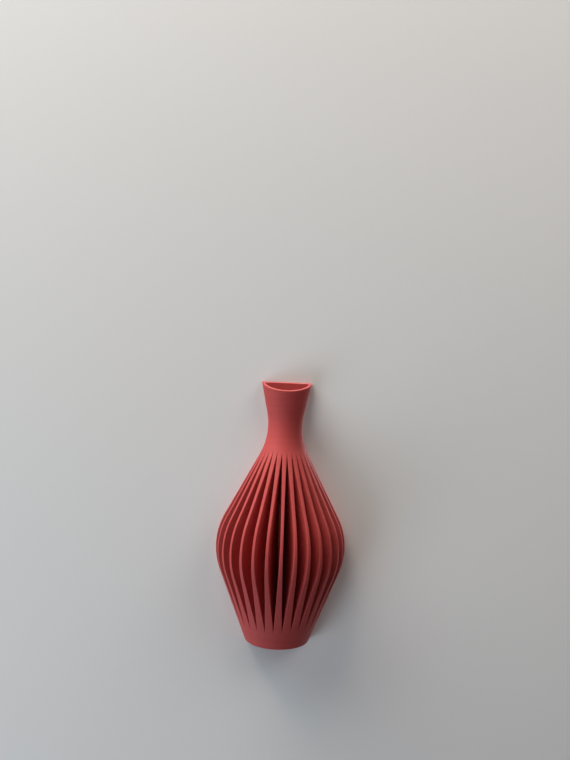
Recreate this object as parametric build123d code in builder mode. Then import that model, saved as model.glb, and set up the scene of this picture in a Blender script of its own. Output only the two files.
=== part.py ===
import os
from math import asin, atan2, cos, radians, sin, tan

from build123d import *

# A half-round vase that hangs flat against a wall. Upright ribs join a solid foot to a slim
# flared neck, with a pointed slot between each two ribs. The wall is the plane Y = 0, the front
# faces -Y, and the origin is where the axis of the wall screw meets the wall.

# Driving dimensions in millimetres and degrees

# Outline of the body: straight runs that touch a ball round the belly and an arc in the hollow of
# the neck. Each rise is counted from the feature below it, and each radius from the upright axis
# that lies in the wall.
foot_radius = 26.0
foot_height = 15.4
foot_chamfer = 1.8
belly_radius = 53.2
belly_rise = 62.6
shoulder_rise = 79.1
neck_radius = 14.2
neck_rise = 20.1
neck_arc = 51.6
mouth_radius = 20.8
mouth_rise = 36.1
mouth_slant = 20.0

# Walls
back_thickness = 2.4
neck_wall = 2.4
floor_thickness = 3.0

# Ribs: thin at the waist, with sides that lean apart towards both ends and hold each lean for a
# part of their length
rib_count = 15
rib_waist = 2.2
waist_rise = 77.4
rib_foot_lean = 2.4
rib_top_lean = 1.3
rib_hold = 0.33

# Wall screw, plug and keyhole
hang_height = 166.8
screw_radius = 2.0
screw_length = 35.0
screw_tip = 3.0
tip_radius = 0.4
head_radius = 4.0
head_height = 2.6
head_flat = 2.9
head_edge = 0.9
recess_width = 1.1
recess_span = 4.4
recess_depth = 1.5
plug_radius = 3.0
jaw_radius = 2.8
plug_length = 30.0
plug_collar = 10.0
plug_depth = 3.0
plug_slit = 1.0
jaw_chamfer = 0.5
keyhole_drop = 10.0

# Clearances
head_clearance = 0.75
hang_clearance = 0.3
plug_clearance = 0.05

# Heights above the foot
belly_height = foot_height + belly_rise
shoulder_height = belly_height + shoulder_rise
neck_height = shoulder_height + neck_rise
vase_height = neck_height + mouth_rise
waist_height = foot_height + waist_rise

half_pitch = 180 / rib_count / 2
wall_front = -back_thickness
foot_bottom = -hang_height


# Lean from the vertical of the run that leaves one circle of the outline and meets the next. A
# circle that swells outwards has a positive radius, a hollow one a negative one, a corner none.
def touching_lean(start, start_circle, end, end_circle):
    run = Vector(*end) - Vector(*start)
    return atan2(run.X, run.Y) - asin((start_circle - end_circle) / run.length)


def touching_point(centre, circle, lean):
    return centre[0] + circle * cos(lean), centre[1] - circle * sin(lean)


foot_corner = (foot_radius, 0)
belly_centre = (0, belly_height)
neck_centre = (neck_radius + neck_arc, neck_height)
mouth_corner = (mouth_radius, vase_height)
side_lean = touching_lean(foot_corner, 0, belly_centre, belly_radius)
shoulder_lean = touching_lean(belly_centre, belly_radius, neck_centre, -neck_arc)
mouth_lean = touching_lean(neck_centre, -neck_arc, mouth_corner, 0)


# One side of the shoulder and neck, drawn upwards at an inset from the outer surface
def draw_neck_side(inset=0.0):
    hollow = -(neck_arc + inset)
    arc_foot = touching_point(neck_centre, hollow, shoulder_lean)
    arc_top = touching_point(neck_centre, hollow, mouth_lean)
    shoulder = Line(touching_point(belly_centre, belly_radius - inset, shoulder_lean), arc_foot)
    flare = Line(arc_top, (mouth_radius - inset / cos(mouth_lean), vase_height))
    narrowest = (neck_radius - inset, neck_height)
    Spline(arc_foot, narrowest, arc_top, tangents=(shoulder % 1, flare % 0))
    return shoulder @ 0, flare @ 1


# Outline of the whole body, as distance from the axis and height above the foot
with BuildLine() as outline:
    side = Line(foot_corner, touching_point(belly_centre, belly_radius, side_lean))
    TangentArc(side @ 1, touching_point(belly_centre, belly_radius, shoulder_lean), tangent=side % 1)
    draw_neck_side()

with BuildLine() as neck_inside:
    draw_neck_side(neck_wall)


def radius_at(height, line):
    level = Axis((0, height, 0), (1, 0, 0))
    return max(point.X for run in line.edges() for point in run.find_intersection_points(level))


foot_top_radius = radius_at(foot_height, outline)
shoulder_radius = radius_at(shoulder_height, outline)
bore_radius = radius_at(shoulder_height, neck_inside)
beyond = 2 * belly_radius

# Half section of the whole body
with BuildSketch() as body:
    with BuildLine():
        add(outline.edges())
        Polyline(mouth_corner, (0, vase_height), (0, 0), foot_corner)
    make_face()
    chamfer(vertices().group_by(Axis.Y)[0].sort_by(Axis.X)[-1], foot_chamfer)


# Upright planes through the axis, and square to them, at an angle from the front
def radial_plane(angle):
    outward = (sin(radians(angle)), -cos(radians(angle)), 0)
    normal = (-cos(radians(angle)), -sin(radians(angle)), 0)
    return Plane(origin=(0, 0, foot_bottom), x_dir=outward, z_dir=normal)


def facing_plane(angle):
    outward = (sin(radians(angle)), -cos(radians(angle)), 0)
    sideways = (cos(radians(angle)), sin(radians(angle)), 0)
    return Plane(origin=(0, 0, foot_bottom), x_dir=sideways, z_dir=outward)


# Planes that part the pieces: the front of the back plate, the top of the ribs, the slanted mouth
back_front = Plane(origin=(0, wall_front, 0), z_dir=(0, -1, 0))
rib_top = Plane.XY.offset(foot_bottom + shoulder_height)
mouth_plane = Plane(
    origin=(0, 0, foot_bottom + vase_height),
    z_dir=(0, -sin(radians(mouth_slant)), cos(radians(mouth_slant))),
)
left_side = radial_plane(-90)

os.makedirs("parts", exist_ok=True)

# Neck: a half tube, narrow above the ribs and flared to a mouth that slants down to the front
with BuildPart() as neck:
    with BuildSketch(left_side):
        with BuildLine():
            for outer_end, inner_end in zip(draw_neck_side(), draw_neck_side(neck_wall)):
                Line(outer_end, inner_end)
        make_face()
    revolve(axis=Axis.Z, revolution_arc=180)
    split(bisect_by=rib_top, keep=Keep.TOP)
    split(bisect_by=back_front, keep=Keep.TOP)
    split(bisect_by=mouth_plane, keep=Keep.BOTTOM)
neck.part.label = "neck"
export_step(neck.part, "parts/neck.step")

# Foot: a thick half cup with a floor, whose rim carries the ribs and whose bore carries on the neck's
with BuildPart() as foot_cup:
    with BuildSketch(left_side):
        add(body.sketch)
        Polygon(
            (0, 0),
            (beyond, 0),
            (beyond, foot_height),
            (bore_radius, foot_height),
            (bore_radius, floor_thickness),
            (0, floor_thickness),
            align=None,
            mode=Mode.INTERSECT,
        )
    revolve(axis=Axis.Z, revolution_arc=180)
    split(bisect_by=back_front, keep=Keep.TOP)
foot_cup.part.label = "foot_cup"
export_step(foot_cup.part, "parts/foot_cup.step")

# Back plate: the flat slice of the body that lies on the wall, with a keyhole for the screw head
with BuildPart() as back_plate:
    with BuildSketch(left_side):
        add(body.sketch)
    revolve(axis=Axis.Z, revolution_arc=180)
    split(bisect_by=back_front, keep=Keep.BOTTOM)
    split(bisect_by=mouth_plane, keep=Keep.BOTTOM)
    with BuildSketch(Plane.XZ):
        with Locations((0, -keyhole_drop)):
            Circle(head_radius + head_clearance)
        with Locations((0, -keyhole_drop / 2)):
            Rectangle(2 * (screw_radius + hang_clearance), keyhole_drop)
        Circle(screw_radius + hang_clearance)
    extrude(amount=back_thickness, both=True, mode=Mode.SUBTRACT)
back_plate.part.label = "back_plate"
export_step(back_plate.part, "parts/back_plate.step")

# A rib seen from its side: the body's section between foot and neck, outside the bore
with BuildSketch() as rib_side:
    add(body.sketch)
    Polygon(
        (bore_radius, foot_height),
        (beyond, foot_height),
        (beyond, shoulder_height),
        (bore_radius, shoulder_height),
        align=None,
        mode=Mode.INTERSECT,
    )


def leaning(angle):
    return Vector(sin(radians(angle)), cos(radians(angle)))


def draw_rib_edge(start, start_lean, end, end_lean):
    hold = rib_hold * (end - start).length
    Bezier(start, start + leaning(start_lean) * hold, end - leaning(end_lean) * hold, end)


# A rib seen from its front, as wide at both ends as its share of the foot and of the neck
foot_end = Vector(foot_top_radius * tan(radians(half_pitch)), foot_height)
waist = Vector(rib_waist / 2, waist_height)
top_end = Vector(shoulder_radius * tan(radians(half_pitch)), shoulder_height)
with BuildSketch() as rib_front:
    with BuildLine():
        draw_rib_edge(foot_end, -rib_foot_lean, waist, 0)
        draw_rib_edge(waist, 0, top_end, rib_top_lean)
        Polyline(top_end, (0, shoulder_height), (0, foot_height), foot_end)
    make_face()
    mirror(about=Plane.YZ)

# Ribs: fanned from the left joint with the back plate to the right one, each trimmed halfway to its
# neighbours
for rib_number in range(1, rib_count + 1):
    rib_angle = (2 * rib_number - 1) * half_pitch - 90
    with BuildPart() as rib:
        with BuildSketch(radial_plane(rib_angle - 2 * half_pitch)):
            add(rib_side.sketch)
        revolve(axis=Axis.Z, revolution_arc=4 * half_pitch)
        with BuildSketch(facing_plane(rib_angle)):
            add(rib_front.sketch)
        extrude(amount=beyond, mode=Mode.INTERSECT)
        split(bisect_by=radial_plane(rib_angle - half_pitch), keep=Keep.BOTTOM)
        split(bisect_by=radial_plane(rib_angle + half_pitch), keep=Keep.TOP)
        split(bisect_by=back_front, keep=Keep.TOP)
    rib_name = f"rib_{rib_number:02d}"
    rib.part.label = rib_name
    export_step(rib.part, f"parts/{rib_name}.step")

# Wall screw: a pan head with a cross recess, seated just in front of the back plate
seat = wall_front - hang_clearance
head_front = seat - head_height
screw_end = seat + screw_length
with BuildPart() as wall_screw:
    with BuildSketch():
        Polygon(
            (0, head_front),
            (head_flat, head_front),
            (head_radius, seat - head_edge),
            (head_radius, seat),
            (screw_radius, seat),
            (screw_radius, screw_end - screw_tip),
            (tip_radius, screw_end),
            (0, screw_end),
            align=None,
        )
    revolve(axis=Axis.Y)
    with BuildSketch(Plane.XZ.offset(-head_front)):
        Rectangle(recess_span, recess_width)
        Rectangle(recess_width, recess_span)
    extrude(amount=-recess_depth, mode=Mode.SUBTRACT)
wall_screw.part.label = "wall_screw"
export_step(wall_screw.part, "parts/wall_screw.step")

# Wall plug: a closed collar that grips the hole, then two slimmer jaws parted by a slit
jaw_start = plug_depth + plug_collar
plug_end = plug_depth + plug_length
plug_bore = screw_radius + plug_clearance
with BuildPart() as wall_plug:
    with BuildSketch():
        Polygon(
            (plug_bore, plug_depth),
            (plug_radius, plug_depth),
            (plug_radius, jaw_start),
            (jaw_radius, jaw_start),
            (jaw_radius, plug_end),
            (plug_bore, plug_end),
            align=None,
        )
        chamfer(vertices().group_by(Axis.Y)[-1].sort_by(Axis.X)[-1], jaw_chamfer)
    revolve(axis=Axis.Y)
    with BuildSketch(Plane.XZ.offset(-plug_end)):
        Rectangle(2 * plug_radius, plug_slit)
    extrude(amount=plug_length - plug_collar, mode=Mode.SUBTRACT)
wall_plug.part.label = "wall_plug"
export_step(wall_plug.part, "parts/wall_plug.step")
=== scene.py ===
from math import acos, asin, atan2, cos, pi, radians, sin, sqrt, tan

import bmesh
import bpy
from mathutils import Matrix, Vector


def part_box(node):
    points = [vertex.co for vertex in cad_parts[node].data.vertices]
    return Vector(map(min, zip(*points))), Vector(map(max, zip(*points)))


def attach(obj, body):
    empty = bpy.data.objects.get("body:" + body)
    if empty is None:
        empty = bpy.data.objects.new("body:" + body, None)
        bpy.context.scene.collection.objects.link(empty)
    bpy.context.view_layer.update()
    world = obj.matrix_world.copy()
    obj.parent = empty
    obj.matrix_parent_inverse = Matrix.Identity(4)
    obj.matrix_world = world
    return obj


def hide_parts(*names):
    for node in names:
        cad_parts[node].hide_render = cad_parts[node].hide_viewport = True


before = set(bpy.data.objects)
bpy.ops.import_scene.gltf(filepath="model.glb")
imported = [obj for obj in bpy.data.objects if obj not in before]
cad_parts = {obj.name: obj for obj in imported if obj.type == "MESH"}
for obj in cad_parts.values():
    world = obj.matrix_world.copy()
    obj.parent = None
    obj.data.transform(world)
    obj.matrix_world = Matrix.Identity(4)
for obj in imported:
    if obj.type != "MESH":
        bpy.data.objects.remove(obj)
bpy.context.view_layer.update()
bpy.context.scene.view_settings.view_transform = "Standard"

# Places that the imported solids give, in metres
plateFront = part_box("back_plate")[0].y
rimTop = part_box("back_plate")[1].z  # where the slanted mouth meets the wall
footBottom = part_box("foot_cup")[0].z
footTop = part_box("foot_cup")[1].z
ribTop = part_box("rib_08")[1].z
ribNames = sorted(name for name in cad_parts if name.startswith("rib_"))

# Outline of the vase: straight runs that touch a ball round the belly and an arc in the neck

vaseOutline = {  # radii from the upright axis on the wall
    "footRadius": 0.026,
    "footEdge": 0.0018,  # from the lower corner to where its round begins
    "bellyRadius": 0.0532,
    "bellyRise": 0.0626,  # above the foot
    "neckRadius": 0.0142,
    "neckRise": 0.0201,  # above the ribs
    "neckArc": 0.0516,
    "mouthRadius": 0.0208,
    "mouthSlant": 20,  # degrees
    "neckWall": 0.0024,
    "floor": 0.003,
}
bellyHeight = footTop + vaseOutline["bellyRise"]
neckHeight = ribTop + vaseOutline["neckRise"]
arcCentre = vaseOutline["neckRadius"] + vaseOutline["neckArc"]
mouthTan = tan(radians(vaseOutline["mouthSlant"]))


def touchingLean(start, startCircle, end, endCircle):  # hollow circles count as negative, corners as none
    run = Vector(end) - Vector(start)
    return atan2(run.x, run.y) - asin((startCircle - endCircle) / run.length)


bellySpot, neckSpot = (0.0, bellyHeight), (arcCentre, neckHeight)
sideLean = touchingLean((vaseOutline["footRadius"], footBottom), 0.0, bellySpot, vaseOutline["bellyRadius"])
shoulderLean = touchingLean(bellySpot, vaseOutline["bellyRadius"], neckSpot, -vaseOutline["neckArc"])
mouthLean = touchingLean(neckSpot, -vaseOutline["neckArc"], (vaseOutline["mouthRadius"], rimTop), 0.0)


def outlineRadius(height, inset=0.0):  # of the outer surface, or of one that lies inside it
    ball = vaseOutline["bellyRadius"] - inset
    hollow = vaseOutline["neckArc"] + inset
    fromBelly = height - bellyHeight
    fromNeck = height - neckHeight
    if fromBelly < -ball * sin(sideLean):
        return ball / cos(sideLean) + fromBelly * tan(sideLean)
    if fromBelly < -ball * sin(shoulderLean):
        return sqrt(ball**2 - fromBelly**2)
    if fromNeck < hollow * sin(shoulderLean):
        return ball / cos(shoulderLean) + fromBelly * tan(shoulderLean)
    if fromNeck < hollow * sin(mouthLean):
        return arcCentre - sqrt(hollow**2 - fromNeck**2)
    return arcCentre - hollow / cos(mouthLean) + fromNeck * tan(mouthLean)


boreRadius = outlineRadius(ribTop, vaseOutline["neckWall"])  # straight down from the neck to the floor

# Node helpers


def addNode(tree, kind, **settings):
    node = tree.nodes.new(kind)
    for name, value in settings.items():
        setattr(node, name, value)
    return node


def mathNode(tree, operation, first, second=0.0, clamp=False):
    node = addNode(tree, "ShaderNodeMath", operation=operation, use_clamp=clamp)
    for socket, value in zip(node.inputs, (first, second)):
        if isinstance(value, (int, float)):
            socket.default_value = value
        else:
            tree.links.new(value, socket)
    return node.outputs[0]


def newGroup(name, kind, inputs, outputs):
    tree = bpy.data.node_groups.new(name, kind)
    for direction, sockets in (("INPUT", inputs), ("OUTPUT", outputs)):
        for label, socketType, value in sockets:
            socket = tree.interface.new_socket(label, in_out=direction, socket_type=socketType)
            if value is not None:
                socket.default_value = value
    return tree, addNode(tree, "NodeGroupInput"), addNode(tree, "NodeGroupOutput")


# Shared effects

floatSocket, vectorSocket = "NodeSocketFloat", "NodeSocketVector"


def makePrintLayers():  # beads of a printed wall, and the slow bands that the layers leave in its colour
    tree, given, result = newGroup(
        "printLayers", "ShaderNodeTree",
        [
            ("Vector", vectorSocket, None),
            ("Layer Height", floatSocket, 0.0002),
            ("Bead Power", floatSocket, 2.5),  # higher is squarer
            ("Band Height", floatSocket, 0.002),
            ("Bands Across", floatSocket, 18.0),  # per metre
        ],
        [("Bead", floatSocket, None), ("Band", floatSocket, None)],
    )
    place = addNode(tree, "ShaderNodeSeparateXYZ")
    tree.links.new(given.outputs["Vector"], place.inputs[0])
    layer = mathNode(tree, "DIVIDE", place.outputs["Z"], given.outputs["Layer Height"])
    across = mathNode(tree, "MULTIPLY_ADD", mathNode(tree, "FRACT", layer), 2.0)
    across.node.inputs[2].default_value = -1.0  # from -1 to 1 over each bead
    hollow = mathNode(tree, "POWER", mathNode(tree, "ABSOLUTE", across), given.outputs["Bead Power"])
    tree.links.new(mathNode(tree, "SUBTRACT", 1.0, hollow), result.inputs["Bead"])
    bandPlace = addNode(tree, "ShaderNodeCombineXYZ")
    for axis in "XY":
        bandShare = mathNode(tree, "MULTIPLY", place.outputs[axis], given.outputs["Bands Across"])
        tree.links.new(bandShare, bandPlace.inputs[axis])
    bandLevel = mathNode(tree, "DIVIDE", place.outputs["Z"], given.outputs["Band Height"])
    tree.links.new(bandLevel, bandPlace.inputs["Z"])
    noise = addNode(tree, "ShaderNodeTexNoise")
    noise.inputs["Scale"].default_value = 1.0
    noise.inputs["Detail"].default_value = 3.0
    tree.links.new(bandPlace.outputs[0], noise.inputs["Vector"])
    tree.links.new(noise.outputs["Fac"], result.inputs["Band"])
    return tree


def makeFineGrain():  # small even roughness
    tree, given, result = newGroup(
        "fineGrain", "ShaderNodeTree",
        [
            ("Vector", vectorSocket, None),
            ("Scale", floatSocket, 900.0),
            ("Low", floatSocket, 0.4),
            ("High", floatSocket, 0.6),
        ],
        [("Grain", floatSocket, None), ("Level", floatSocket, None)],
    )
    noise = addNode(tree, "ShaderNodeTexNoise")
    noise.inputs["Detail"].default_value = 4.0
    noise.inputs["Roughness"].default_value = 0.6
    tree.links.new(given.outputs["Vector"], noise.inputs["Vector"])
    tree.links.new(given.outputs["Scale"], noise.inputs["Scale"])
    tree.links.new(noise.outputs["Fac"], result.inputs["Grain"])
    level = addNode(tree, "ShaderNodeMapRange")
    tree.links.new(noise.outputs["Fac"], level.inputs["Value"])
    tree.links.new(given.outputs["Low"], level.inputs["To Min"])
    tree.links.new(given.outputs["High"], level.inputs["To Max"])
    tree.links.new(level.outputs["Result"], result.inputs["Level"])
    return tree


printLayers = makePrintLayers()
fineGrain = makeFineGrain()


def newMaterial(name):
    material = bpy.data.materials.new(name)
    material.use_nodes = True
    shader = material.node_tree.nodes["Principled BSDF"]
    return material, material.node_tree, shader


def placeGroup(tree, group, vector, values):
    node = addNode(tree, "ShaderNodeGroup", node_tree=group)
    tree.links.new(vector, node.inputs["Vector"])
    for name, value in values.items():
        node.inputs[name].default_value = value
    return node


def placeGrain(tree, vector, look):
    values = {"Scale": look["grainScale"], "Low": look["roughLow"], "High": look["roughHigh"]}
    return placeGroup(tree, fineGrain, vector, values)


def mixColours(tree, factor, first, second):
    mix = addNode(tree, "ShaderNodeMix", data_type="RGBA")
    tree.links.new(factor, mix.inputs["Factor"])
    for socket, colour in ((mix.inputs[6], first), (mix.inputs[7], second)):
        socket.default_value = (*colour, 1)
    return mix.outputs[2]


# Finishes

coralPrint = {
    "shade": (0.42, 0.054, 0.052),  # between bands
    "light": (0.50, 0.074, 0.072),
    "layerHeight": 0.0002,
    "bandHeight": 0.0016,
    "grainScale": 1400.0,
    "roughLow": 0.50,
    "roughHigh": 0.68,
    "beadDepth": 0.00003,
    "grainDepth": 0.00002,
    "specular": 0.25,
}


def makeCoralPrint(look):
    material, tree, shader = newMaterial("coralPrint")
    place = addNode(tree, "ShaderNodeTexCoord").outputs["Object"]
    layers = placeGroup(
        tree, printLayers, place, {"Layer Height": look["layerHeight"], "Band Height": look["bandHeight"]}
    )
    grain = placeGrain(tree, place, look)
    colour = mixColours(tree, layers.outputs["Band"], look["shade"], look["light"])
    tree.links.new(colour, shader.inputs["Base Color"])
    shader.inputs["Specular IOR Level"].default_value = look["specular"]
    tree.links.new(grain.outputs["Level"], shader.inputs["Roughness"])
    beads = addNode(tree, "ShaderNodeBump")
    beads.inputs["Distance"].default_value = look["beadDepth"]
    tree.links.new(layers.outputs["Bead"], beads.inputs["Height"])
    pits = addNode(tree, "ShaderNodeBump")
    pits.inputs["Distance"].default_value = look["grainDepth"]
    tree.links.new(grain.outputs["Grain"], pits.inputs["Height"])
    tree.links.new(beads.outputs["Normal"], pits.inputs["Normal"])
    tree.links.new(pits.outputs["Normal"], shader.inputs["Normal"])
    return material


zincSteel = {
    "dull": (0.50, 0.51, 0.54),
    "bright": (0.74, 0.74, 0.76),
    "grainScale": 700.0,
    "roughLow": 0.22,
    "roughHigh": 0.42,
}


def makeZincSteel(look):
    material, tree, shader = newMaterial("zincSteel")
    place = addNode(tree, "ShaderNodeTexCoord").outputs["Object"]
    grain = placeGrain(tree, place, look)
    tree.links.new(
        mixColours(tree, grain.outputs["Grain"], look["dull"], look["bright"]), shader.inputs["Base Color"]
    )
    tree.links.new(grain.outputs["Level"], shader.inputs["Roughness"])
    shader.inputs["Metallic"].default_value = 1.0
    return material


plugNylon = {
    "shade": (0.30, 0.30, 0.29),
    "light": (0.37, 0.37, 0.35),
    "grainScale": 420.0,
    "roughLow": 0.38,
    "roughHigh": 0.55,
}


def makePlugNylon(look):
    material, tree, shader = newMaterial("plugNylon")
    place = addNode(tree, "ShaderNodeTexCoord").outputs["Object"]
    grain = placeGrain(tree, place, look)
    tree.links.new(
        mixColours(tree, grain.outputs["Grain"], look["shade"], look["light"]), shader.inputs["Base Color"]
    )
    tree.links.new(grain.outputs["Level"], shader.inputs["Roughness"])
    return material


coralMaterial = makeCoralPrint(coralPrint)
zincMaterial = makeZincSteel(zincSteel)
nylonMaterial = makePlugNylon(plugNylon)
print("finishes: coral print, zinc steel, plug nylon")

# Mesh helpers

squareCorners = [(-1, -1), (1, -1), (1, 1), (-1, 1)]
weldDistance, sliverLength = 1e-7, 1e-8


def addPiece(name, mesh, material=None, sharpAngle=40):
    if material:
        mesh.materials.clear()
        mesh.materials.append(material)
    mesh.shade_smooth()
    mesh.set_sharp_from_angle(angle=radians(sharpAngle))
    piece = bpy.data.objects.new(name, mesh)
    bpy.context.scene.collection.objects.link(piece)
    return piece


def meshFrom(work, name):  # closes doubles and turns the faces outwards
    bmesh.ops.remove_doubles(work, verts=work.verts, dist=weldDistance)
    bmesh.ops.dissolve_degenerate(work, edges=work.edges, dist=sliverLength)
    bmesh.ops.recalc_face_normals(work, faces=work.faces)
    mesh = bpy.data.meshes.new(name)
    work.to_mesh(mesh)
    work.free()
    return mesh


def settle(piece, sharpAngle=40):  # keeps what its modifiers make as a plain mesh
    graph = bpy.context.evaluated_depsgraph_get()
    mesh = bpy.data.meshes.new_from_object(piece.evaluated_get(graph), depsgraph=graph)
    mesh.set_sharp_from_angle(angle=radians(sharpAngle))
    piece.modifiers.clear()
    piece.data = mesh


def joinRings(work, rings, closed=False):
    pairs = list(zip(rings, rings[1:]))
    if closed:
        pairs.append((rings[-1], rings[0]))
    for lower, upper in pairs:
        for k in range(len(lower) - 1):
            work.faces.new((lower[k], lower[k + 1], upper[k + 1], upper[k]))


def turnedPoint(radius, share, height):  # share runs from -1 to 1 between the two joints with the plate
    angle = share * acos(-plateFront / radius)
    return radius * sin(angle), -radius * cos(angle), height


def give(piece, body, slot, *nodes):  # parents a piece to what carries it, and hides the solids it stands for
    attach(piece, body)
    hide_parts(*nodes)


# Neck

neckLook = {"columns": 72, "rings": 64, "rimRound": 0.0006, "roundSteps": 4, "rimTries": 12}


def rimHeight(share, inset):  # where the wall meets the slanted mouth
    height = rimTop
    for attempt in range(neckLook["rimTries"]):  # each comes closer
        height = rimTop + mouthTan * turnedPoint(outlineRadius(height, inset), share, height)[1]
    return height


def makeNeck(look):
    work = bmesh.new()
    weights = work.edges.layers.float.new("bevel_weight_edge")
    shares = [2 * k / look["columns"] - 1 for k in range(look["columns"] + 1)]
    walls = []
    for inset in (0.0, vaseOutline["neckWall"]):
        tops = [rimHeight(share, inset) for share in shares]
        wallRings = []
        for ring in range(look["rings"] + 1):
            climb = ring / look["rings"]
            ringVerts = []
            for share, top in zip(shares, tops):
                height = ribTop + climb * (top - ribTop)
                point = turnedPoint(outlineRadius(height, inset), share, height)
                ringVerts.append(work.verts.new(point))
            wallRings.append(ringVerts)
        walls.append(wallRings)
    rings = walls[0] + walls[1][::-1]
    joinRings(work, rings, closed=True)
    for end in (0, -1):
        work.faces.new([ring[end] for ring in rings])  # lies on the plate
    for rim in (walls[0][-1], walls[1][-1]):
        for first, second in zip(rim, rim[1:]):
            work.edges.get((first, second))[weights] = 1.0
    neck = addPiece("neck_shell", meshFrom(work, "neck_shell"), coralMaterial)
    bevel = neck.modifiers.new("rimRound", "BEVEL")
    bevel.limit_method = "WEIGHT"
    bevel.width = look["rimRound"]
    bevel.segments = look["roundSteps"]
    settle(neck)
    give(neck, "vase", "coral_print", "neck")


makeNeck(neckLook)
print("neck made")

# Foot

footLook = {"columns": 72, "rings": 10, "roundSteps": 6}


def footProfile(look):  # rounded lower edge, then the leaning side
    turn = pi / 2 - sideLean
    bend = vaseOutline["footEdge"] / tan(turn / 2)
    centre = Vector((vaseOutline["footRadius"] - vaseOutline["footEdge"], footBottom + bend))
    points = []
    for step in range(look["roundSteps"] + 1):
        angle = turn * step / look["roundSteps"]
        points.append(centre + bend * Vector((sin(angle), -cos(angle))))
    sideStart, sideEnd = points[-1], Vector((outlineRadius(footTop), footTop))
    points += [sideStart.lerp(sideEnd, step / look["rings"]) for step in range(1, look["rings"] + 1)]
    return points


def makeFoot(look):
    work = bmesh.new()
    profile = footProfile(look)
    floorHeight = footBottom + vaseOutline["floor"]
    boreTop, boreFloor = Vector((boreRadius, footTop)), Vector((boreRadius, floorHeight))
    profile += [boreTop.lerp(boreFloor, step / look["rings"]) for step in range(look["rings"] + 1)]
    shares = [2 * k / look["columns"] - 1 for k in range(look["columns"] + 1)]
    rings = [[work.verts.new(turnedPoint(point.x, share, point.y)) for share in shares] for point in profile]
    joinRings(work, rings)
    work.faces.new(rings[0])  # underside
    work.faces.new(rings[-1])  # floor
    work.faces.new([ring[0] for ring in rings] + [ring[-1] for ring in rings[::-1]])  # lies on the plate
    foot = addPiece("foot_shell", meshFrom(work, "foot_shell"), coralMaterial)
    give(foot, "vase", "coral_print", "foot_cup")


makeFoot(footLook)
print("foot made")

# Back plate with its keyhole

plateLook = {
    "rows": 4,
    "sideSteps": 140,
    "headHole": 0.00475,  # radius that lets the screw head through
    "slotHole": 0.0023,
    "drop": 0.010,
    "arcSteps": 40,
    "sharpAngle": 30,
}


def plateSide(look, y):  # the right half of the outline, from the bottom up, at a depth
    points = footProfile(footLook)
    climb = (rimTop + mouthTan * y - footTop) / look["sideSteps"]
    for step in range(1, look["sideSteps"] + 1):
        height = footTop + climb * step
        points.append(Vector((outlineRadius(height), height)))
    return [(sqrt(point.x**2 - y**2), y, point.y) for point in points]


def keyholeLoop(look, y):
    spread = asin(look["slotHole"] / look["headHole"])
    loop = []
    for k in range(look["arcSteps"] + 1):
        angle = spread + (2 * pi - 2 * spread) * k / look["arcSteps"]
        loop.append((look["headHole"] * sin(angle), y, look["headHole"] * cos(angle) - look["drop"]))
    for k in range(look["arcSteps"] // 2 + 1):
        angle = pi - pi * k / (look["arcSteps"] // 2)
        loop.append((look["slotHole"] * cos(angle), y, look["slotHole"] * sin(angle)))
    return loop


def makePlate(look):
    work = bmesh.new()
    outerRings, holeRings = [], []
    for row in range(look["rows"] + 1):
        y = plateFront * row / look["rows"]
        right = plateSide(look, y)
        left = [(-x, depth, height) for x, depth, height in right[::-1]]
        outerRings.append([work.verts.new(point) for point in right + left])
        holeRings.append([work.verts.new(point) for point in keyholeLoop(look, y)])
    for rings in (outerRings, holeRings):
        joinRings(work, [ring + ring[:1] for ring in rings])
    for end in (0, -1):
        rim = []
        for ring in (outerRings[end], holeRings[end]):
            for first, second in zip(ring, ring[1:] + ring[:1]):
                rim.append(work.edges.get((first, second)))
        bmesh.ops.triangle_fill(work, edges=rim, use_beauty=True)
    plate = addPiece("back_shell", meshFrom(work, "back_shell"), coralMaterial, look["sharpAngle"])
    give(plate, "vase", "coral_print", "back_plate")


makePlate(plateLook)
print("back plate made")

# Ribs: one blank, fanned out by nodes

ribLook = {
    "count": len(ribNames),
    "fan": 180,  # degrees from one joint with the plate to the other
    "waist": 0.0022,
    "waistRise": 0.0774,  # above the foot
    "footLean": -2.4,  # of the rib's sides at the foot
    "topLean": 1.3,
    "edgeRound": 0.0003,
    "rings": 130,
    "sideSteps": 3,
    "roundSteps": 4,
}
halfPitch = radians(ribLook["fan"]) / ribLook["count"] / 2
waistHeight = footTop + ribLook["waistRise"]
ribEnds = [  # height, half width and slope of a rib's side
    (footTop, outlineRadius(footTop) * tan(halfPitch), tan(radians(ribLook["footLean"]))),
    (waistHeight, ribLook["waist"] / 2, 0.0),
    (ribTop, outlineRadius(ribTop) * tan(halfPitch), tan(radians(ribLook["topLean"]))),
]


def ribHalfWidth(height):  # an even curve from the foot to the waist and on to the neck
    low, high = ribEnds[:2] if height < waistHeight else ribEnds[1:]
    rise = high[0] - low[0]
    t = (height - low[0]) / rise
    eased = t * t * (3 - 2 * t)
    bulge = rise * (low[2] * t * (1 - t) ** 2 - high[2] * t * t * (1 - t))
    return low[1] + (high[1] - low[1]) * eased + bulge


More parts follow.
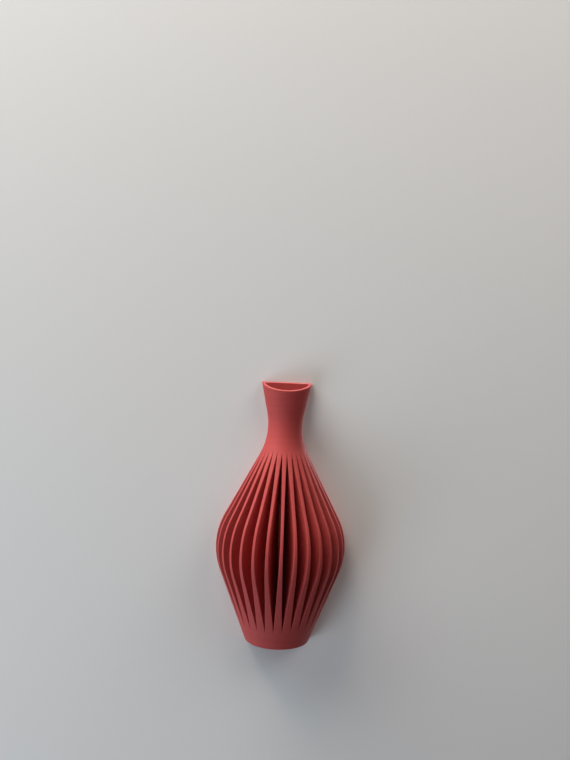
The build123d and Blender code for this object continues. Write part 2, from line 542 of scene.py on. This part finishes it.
def ribSection(look, height):  # right half of a section, from its inner edge round to its front
    outer = outlineRadius(height)
    half = ribHalfWidth(height)
    frontHalf = min(half, outer * sin(halfPitch))
    innerHalf = min(half, boreRadius * sin(halfPitch))
    bend = min(look["edgeRound"], outer * sin(halfPitch) - frontHalf)  # fades out at the ends of a slot
    frontFlat = frontHalf - bend
    cornerDepth = sqrt(outer**2 - frontFlat**2) - bend
    innerDepth = sqrt(boreRadius**2 - innerHalf**2)
    parting = max(innerDepth, min(cornerDepth, half / tan(halfPitch)))  # where it leaves its neighbour
    section = [(innerHalf, innerDepth), (min(half, parting * tan(halfPitch)), parting)]
    for step in range(1, look["sideSteps"] + 1):
        depth = parting + (cornerDepth - parting) * step / (look["sideSteps"] + 1)
        section.append((min(half, depth * tan(halfPitch)), depth))
    for step in range(look["roundSteps"] + 1):
        angle = pi / 2 * step / look["roundSteps"]
        section.append((frontFlat + bend * cos(angle), cornerDepth + bend * sin(angle)))
    section.append((frontFlat / 2, sqrt(outer**2 - frontFlat**2 / 4)))
    return section, outer


def makeBlank(look):
    work = bmesh.new()
    rings = []
    for ring in range(look["rings"] + 1):
        climb = ring / look["rings"]
        climb = (climb + (1 - cos(pi * climb)) / 2) / 2  # closer together near the ends
        height = footTop + climb * (ribTop - footTop)
        section, outer = ribSection(look, height)
        loop = section + [(0.0, outer)] + [(-x, depth) for x, depth in section[::-1]] + [(0.0, boreRadius)]
        rings.append([work.verts.new((x, -depth, height)) for x, depth in loop])
    joinRings(work, [ring + ring[:1] for ring in rings])
    work.faces.new(rings[0])
    work.faces.new(rings[-1])
    return meshFrom(work, "ribBlank")


def makeRibFan():
    tree, given, result = newGroup(
        "ribFan", "GeometryNodeTree",
        [
            ("Geometry", "NodeSocketGeometry", None),
            ("Rib Count", "NodeSocketInt", 15),
            ("Fan Angle", floatSocket, pi),
            ("Plate Front", floatSocket, 0.0),
            ("Print", "NodeSocketMaterial", None),
        ],
        [("Geometry", "NodeSocketGeometry", None)],
    )
    tree.is_modifier = True
    line = addNode(tree, "GeometryNodeMeshLine")
    line.inputs["Offset"].default_value = (0, 0, 0)
    tree.links.new(given.outputs["Rib Count"], line.inputs["Count"])
    place = mathNode(tree, "ADD", addNode(tree, "GeometryNodeInputIndex").outputs[0], 0.5)
    share = mathNode(tree, "SUBTRACT", mathNode(tree, "DIVIDE", place, given.outputs["Rib Count"]), 0.5)
    turn = addNode(tree, "ShaderNodeCombineXYZ")
    tree.links.new(mathNode(tree, "MULTIPLY", share, given.outputs["Fan Angle"]), turn.inputs["Z"])
    fan = addNode(tree, "GeometryNodeInstanceOnPoints")
    tree.links.new(line.outputs["Mesh"], fan.inputs["Points"])
    tree.links.new(given.outputs["Geometry"], fan.inputs["Instance"])
    tree.links.new(turn.outputs[0], fan.inputs["Rotation"])
    real = addNode(tree, "GeometryNodeRealizeInstances")
    tree.links.new(fan.outputs["Instances"], real.inputs["Geometry"])
    spot = addNode(tree, "ShaderNodeSeparateXYZ")
    tree.links.new(addNode(tree, "GeometryNodeInputPosition").outputs[0], spot.inputs[0])
    trimmed = addNode(tree, "ShaderNodeCombineXYZ")
    tree.links.new(spot.outputs["X"], trimmed.inputs["X"])
    tree.links.new(
        mathNode(tree, "MINIMUM", spot.outputs["Y"], given.outputs["Plate Front"]), trimmed.inputs["Y"]
    )
    tree.links.new(spot.outputs["Z"], trimmed.inputs["Z"])
    trim = addNode(tree, "GeometryNodeSetPosition")  # the end ribs stop at the plate
    tree.links.new(real.outputs["Geometry"], trim.inputs["Geometry"])
    tree.links.new(trimmed.outputs[0], trim.inputs["Position"])
    paint = addNode(tree, "GeometryNodeSetMaterial")
    tree.links.new(trim.outputs["Geometry"], paint.inputs["Geometry"])
    tree.links.new(given.outputs["Print"], paint.inputs["Material"])
    tree.links.new(paint.outputs["Geometry"], result.inputs["Geometry"])
    return tree


def runNodes(piece, tree, values):
    modifier = piece.modifiers.new(tree.name, "NODES")
    modifier.node_group = tree
    for item in tree.interface.items_tree:
        if item.in_out == "INPUT" and item.name in values:
            modifier[item.identifier] = values[item.name]
    settle(piece)


def makeRibs(look):
    ribs = addPiece("ribs", makeBlank(look), coralMaterial)
    values = {
        "Rib Count": look["count"],
        "Fan Angle": radians(look["fan"]),
        "Plate Front": plateFront,
        "Print": coralMaterial,
    }
    runNodes(ribs, makeRibFan(), values)
    give(ribs, "vase", "coral_print", *ribNames)


makeRibs(ribLook)
print("ribs made:", ribLook["count"])

# Wall screw, with its thread wound on by nodes

screwBox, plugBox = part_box("wall_screw"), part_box("wall_plug")
screwLook = {
    "headFlat": 0.0024,  # radius of the flat on the head
    "headRound": 0.0017,
    "roundSteps": 8,
    "seatGap": 0.0003,  # between the head and the plate
    "shank": 0.002,
    "core": 0.00145,
    "plainLength": 0.0065,  # below the head, before the thread
    "tipLength": 0.004,
    "pitch": 0.0018,
    "ridge": 0.0004,  # from the middle of the thread to its crest
    "recessWidth": 0.0011,
    "recessSpan": 0.0044,
    "recessDepth": 0.0015,
    "recessTaper": 0.7,
    "columns": 48,
}


def spinProfile(points, columns, name):  # turns a profile about the screw's axis
    work = bmesh.new()
    verts = [work.verts.new((radius, place, 0)) for radius, place in points]
    edges = [work.edges.new(pair) for pair in zip(verts, verts[1:])]
    bmesh.ops.spin(
        work, geom=verts + edges, cent=(0, 0, 0), axis=(0, 1, 0), angle=2 * pi, steps=columns, use_merge=True
    )
    return meshFrom(work, name)


def carve(piece, loop, start, end, endScale=1.0):  # cuts a pocket along the screw's axis
    work = bmesh.new()
    rings = []
    for place, scale in ((start, 1.0), (end, endScale)):
        rings.append([work.verts.new((x * scale, place, z * scale)) for x, z in loop])
    joinRings(work, [ring + ring[:1] for ring in rings])
    for ring in rings:
        work.faces.new(ring)
    cutter = addPiece("cutter", meshFrom(work, "cutter"))
    cut = piece.modifiers.new("cut", "BOOLEAN")
    cut.object = cutter
    settle(piece)
    bpy.data.objects.remove(cutter)


def screwProfile(look, seat):
    headRadius, headFront = screwBox[1].x, screwBox[0].y
    threadStart = seat + look["plainLength"]
    points = [(0.0, headFront)]
    for step in range(look["roundSteps"] + 1):
        angle = pi / 2 * step / look["roundSteps"]
        radius = look["headFlat"] + (headRadius - look["headFlat"]) * sin(angle)
        points.append((radius, headFront + look["headRound"] * (1 - cos(angle))))
    points += [(headRadius, seat), (look["shank"], seat), (look["shank"], threadStart)]
    points += [(look["core"], threadStart + look["shank"] - look["core"])]
    return points + [(look["core"], screwBox[1].y - look["tipLength"]), (0.0, screwBox[1].y)]


def makeThreadTree():
    tree, given, result = newGroup(
        "screwThread", "GeometryNodeTree",
        [
            ("Geometry", "NodeSocketGeometry", None),
            ("Turns", floatSocket, 12.0),
            ("Pitch", floatSocket, 0.0018),
            ("Radius", floatSocket, 0.0016),
            ("Ridge", floatSocket, 0.0004),
            ("Start", floatSocket, 0.0),
            ("Finish", "NodeSocketMaterial", None),
        ],
        [("Geometry", "NodeSocketGeometry", None)],
    )
    tree.is_modifier = True
    path = addNode(tree, "GeometryNodeCurveSpiral")
    path.inputs["Resolution"].default_value = 32  # points a turn
    tree.links.new(given.outputs["Turns"], path.inputs["Rotations"])
    for end in ("Start Radius", "End Radius"):
        tree.links.new(given.outputs["Radius"], path.inputs[end])
    rise = mathNode(tree, "MULTIPLY", given.outputs["Turns"], given.outputs["Pitch"])
    tree.links.new(rise, path.inputs["Height"])
    upright = addNode(tree, "GeometryNodeSetCurveNormal", mode="Z_UP")  # keeps the crest pointing outwards
    tree.links.new(path.outputs["Curve"], upright.inputs["Curve"])
    section = addNode(tree, "GeometryNodeCurvePrimitiveCircle")
    section.inputs["Resolution"].default_value = 4  # a square, one corner outwards
    tree.links.new(given.outputs["Ridge"], section.inputs["Radius"])
    sweep = addNode(tree, "GeometryNodeCurveToMesh")
    sweep.inputs["Fill Caps"].default_value = True
    tree.links.new(upright.outputs["Curve"], sweep.inputs["Curve"])
    tree.links.new(section.outputs["Curve"], sweep.inputs["Profile Curve"])
    start = addNode(tree, "ShaderNodeCombineXYZ")
    tree.links.new(given.outputs["Start"], start.inputs["Y"])
    lay = addNode(tree, "GeometryNodeTransform")
    lay.inputs["Rotation"].default_value = (-pi / 2, 0, 0)
    tree.links.new(sweep.outputs["Mesh"], lay.inputs["Geometry"])
    tree.links.new(start.outputs[0], lay.inputs["Translation"])
    both = addNode(tree, "GeometryNodeJoinGeometry")
    tree.links.new(given.outputs["Geometry"], both.inputs["Geometry"])
    tree.links.new(lay.outputs["Geometry"], both.inputs["Geometry"])
    real = addNode(tree, "GeometryNodeRealizeInstances")
    tree.links.new(both.outputs["Geometry"], real.inputs["Geometry"])
    paint = addNode(tree, "GeometryNodeSetMaterial")
    tree.links.new(real.outputs["Geometry"], paint.inputs["Geometry"])
    tree.links.new(given.outputs["Finish"], paint.inputs["Material"])
    tree.links.new(paint.outputs["Geometry"], result.inputs["Geometry"])
    return tree


def makeScrew(look):
    seat = plateFront - look["seatGap"]
    screw = addPiece("screw", spinProfile(screwProfile(look, seat), look["columns"], "screw"), zincMaterial)
    half, reach = look["recessWidth"] / 2, look["recessSpan"] / 2
    cross = []
    for quarter in range(4):
        turn = Matrix.Rotation(-pi / 2 * quarter, 2)
        cross += [turn @ Vector(corner) for corner in ((half, reach), (half, half), (reach, half))]
    headFront = screwBox[0].y
    carve(
        screw, cross, headFront - look["recessDepth"], headFront + look["recessDepth"], look["recessTaper"]
    )
    start = seat + look["plainLength"]
    values = {
        "Turns": (screwBox[1].y - look["tipLength"] / 2 - start) / look["pitch"],
        "Pitch": look["pitch"],
        "Radius": look["shank"] - look["ridge"],
        "Ridge": look["ridge"],
        "Start": start,
        "Finish": zincMaterial,
    }
    runNodes(screw, makeThreadTree(), values)
    give(screw, "wall_fixing", "zinc_steel", "wall_screw")


makeScrew(screwLook)
print("screw made")

# Wall plug

plugLook = {
    "bore": 0.00205,
    "jaw": 0.0028,  # radius at the crests of the teeth
    "collar": 0.010,
    "slit": 0.001,
    "teeth": 7,
    "toothDepth": 0.0004,
    "columns": 48,
}


def plugProfile(look):
    radius, start, end = plugBox[1].x, plugBox[0].y, plugBox[1].y
    jawStart = start + look["collar"]
    tooth = (end - jawStart) / look["teeth"]
    points = [(look["bore"], start), (radius, start), (radius, jawStart)]
    for step in range(look["teeth"]):
        points.append((look["jaw"], jawStart + step * tooth))
        points.append((look["jaw"] - look["toothDepth"], jawStart + (step + 0.9) * tooth))
    return points + [(look["jaw"] - look["toothDepth"], end), (look["bore"], end), (look["bore"], start)]


def makePlug(look):
    plug = addPiece("plug", spinProfile(plugProfile(look), look["columns"], "plug"), nylonMaterial)
    radius, start, end = plugBox[1].x, plugBox[0].y, plugBox[1].y
    slit = [(2 * radius * x, look["slit"] / 2 * z) for x, z in squareCorners]
    carve(plug, slit, start + look["collar"], end + look["slit"])
    give(plug, "wall_fixing", "plug_nylon", "wall_plug")


makePlug(plugLook)
print("plug made")

# Stage: a pale wall and floor, seen from their fronts only

stageLook = {
    "wallColour": (0.81, 0.84, 0.85),
    "roughness": 0.9,
    "gap": 0.0004,  # behind the back plate
    "drop": 1.2,  # from the vase to the floor
    "reach": 4.0,
    "worldColour": (0.50, 0.505, 0.51),  # behind everything
}


def makeStage(look):
    material, tree, shader = newMaterial("palePaint")
    shader.inputs["Base Color"].default_value = (*look["wallColour"], 1)
    shader.inputs["Roughness"].default_value = look["roughness"]
    clear = addNode(tree, "ShaderNodeBsdfTransparent")
    either = addNode(tree, "ShaderNodeMixShader")
    tree.links.new(addNode(tree, "ShaderNodeNewGeometry").outputs["Backfacing"], either.inputs["Fac"])
    tree.links.new(shader.outputs["BSDF"], either.inputs[1])
    tree.links.new(clear.outputs["BSDF"], either.inputs[2])
    tree.links.new(either.outputs[0], tree.nodes["Material Output"].inputs["Surface"])
    reach, floor = look["reach"], footBottom - look["drop"]
    surfaces = {
        "stageWall": [(reach * x, look["gap"], reach if z > 0 else floor) for x, z in squareCorners],
        "stageFloor": [(reach * x, reach * y, floor) for x, y in squareCorners],
    }
    for name, corners in surfaces.items():
        mesh = bpy.data.meshes.new(name)
        mesh.from_pydata(corners, [], [(0, 1, 2, 3)])
        mesh.materials.append(material)
        surface = bpy.data.objects.new(name, mesh)
        bpy.context.scene.collection.objects.link(surface)
        surface.visible_diffuse = False  # light still reaches the back of the vase
        surface.visible_glossy = False
        surface.visible_shadow = False


def makeWorld(look):
    world = bpy.data.worlds.new("paleRoom")
    bpy.context.scene.world = world
    world.use_nodes = True
    tree = world.node_tree
    tree.nodes.clear()
    around = addNode(tree, "ShaderNodeBackground")
    around.inputs["Color"].default_value = (*look["worldColour"], 1)
    ray = addNode(tree, "ShaderNodeLightPath")
    shown = ray.outputs["Is Camera Ray"]
    for kind in ("Is Glossy Ray", "Is Transmission Ray"):
        shown = mathNode(tree, "MAXIMUM", shown, ray.outputs[kind])
    tree.links.new(shown, around.inputs["Strength"])  # the lamps give all other light
    tree.links.new(around.outputs[0], addNode(tree, "ShaderNodeOutputWorld").inputs["Surface"])


makeStage(stageLook)
makeWorld(stageLook)

lampLook = {  # place from the middle of the vase, in metres, and power in watts
    "highPanel": {"place": (-0.52, -0.3, 1.48), "size": 0.9, "power": 26, "colour": (1.0, 0.84, 0.72)},
    "sidePanel": {"place": (-1.17, -0.21, 1.07), "size": 0.9, "power": 14.5, "colour": (0.84, 1.0, 1.0)},
    "rightPanel": {"place": (0.95, -0.65, 1.07), "size": 0.9, "power": 7.0, "colour": (1.0, 0.92, 0.86)},
    "lowPanel": {"place": (-1.2, -0.69, -0.8), "size": 0.9, "power": 12.5, "colour": (0.82, 0.9, 1.0)},
    "frontPanel": {"place": (-0.54, -1.47, 0.33), "size": 0.9, "power": 1.8, "colour": (1.0, 0.8, 0.8)},
    "backPanel": {"place": (0.6, 1.4, 0.9), "size": 1.2, "power": 26, "colour": (1.0, 1.0, 1.0)},
}


def makeLamps(lamps):
    target = Vector((0, plateFront, (footBottom + rimTop) / 2))
    for name, look in lamps.items():
        lamp = bpy.data.lights.new(name, "AREA")
        lamp.size = look["size"]
        lamp.energy = look["power"]
        lamp.color = look["colour"]
        holder = bpy.data.objects.new(name, lamp)
        holder.location = target + Vector(look["place"])
        holder.rotation_euler = (-Vector(look["place"])).to_track_quat("-Z", "Y").to_euler()
        bpy.context.scene.collection.objects.link(holder)


makeLamps(lampLook)
print("stage and lamps set")

# Camera, level and almost square to the wall, turned a little about its own axis

cameraLook = {
    "frameHeight": 760,  # pixels
    "focalPixels": 740,
    "pixelSize": 0.00083,  # metres at the wall
    "aimSide": -0.00175,  # the wall point in the middle of the frame, from the vase's axis
    "aimRise": 0.0018,  # and from the top of its rim
    "standSide": -0.012,  # from straight in front of that point
    "roll": 2.37,
    "sensor": 36.0,
}


def makeCamera(look):
    camera = bpy.data.cameras.new("photoCamera")
    camera.sensor_width = look["sensor"]
    camera.lens = look["focalPixels"] / look["frameHeight"] * look["sensor"]
    holder = bpy.data.objects.new("photoCamera", camera)
    aim = Vector((look["aimSide"], 0, rimTop + look["aimRise"]))
    distance = look["focalPixels"] * look["pixelSize"]
    level = Matrix.Rotation(pi / 2, 4, "X") @ Matrix.Rotation(radians(look["roll"]), 4, "Z")
    facing = Matrix.Rotation(atan2(look["standSide"], distance), 4, "Z") @ level
    holder.matrix_world = Matrix.Translation(aim + Vector((look["standSide"], -distance, 0))) @ facing
    bpy.context.scene.collection.objects.link(holder)
    bpy.context.scene.camera = holder


makeCamera(cameraLook)
print("camera set")
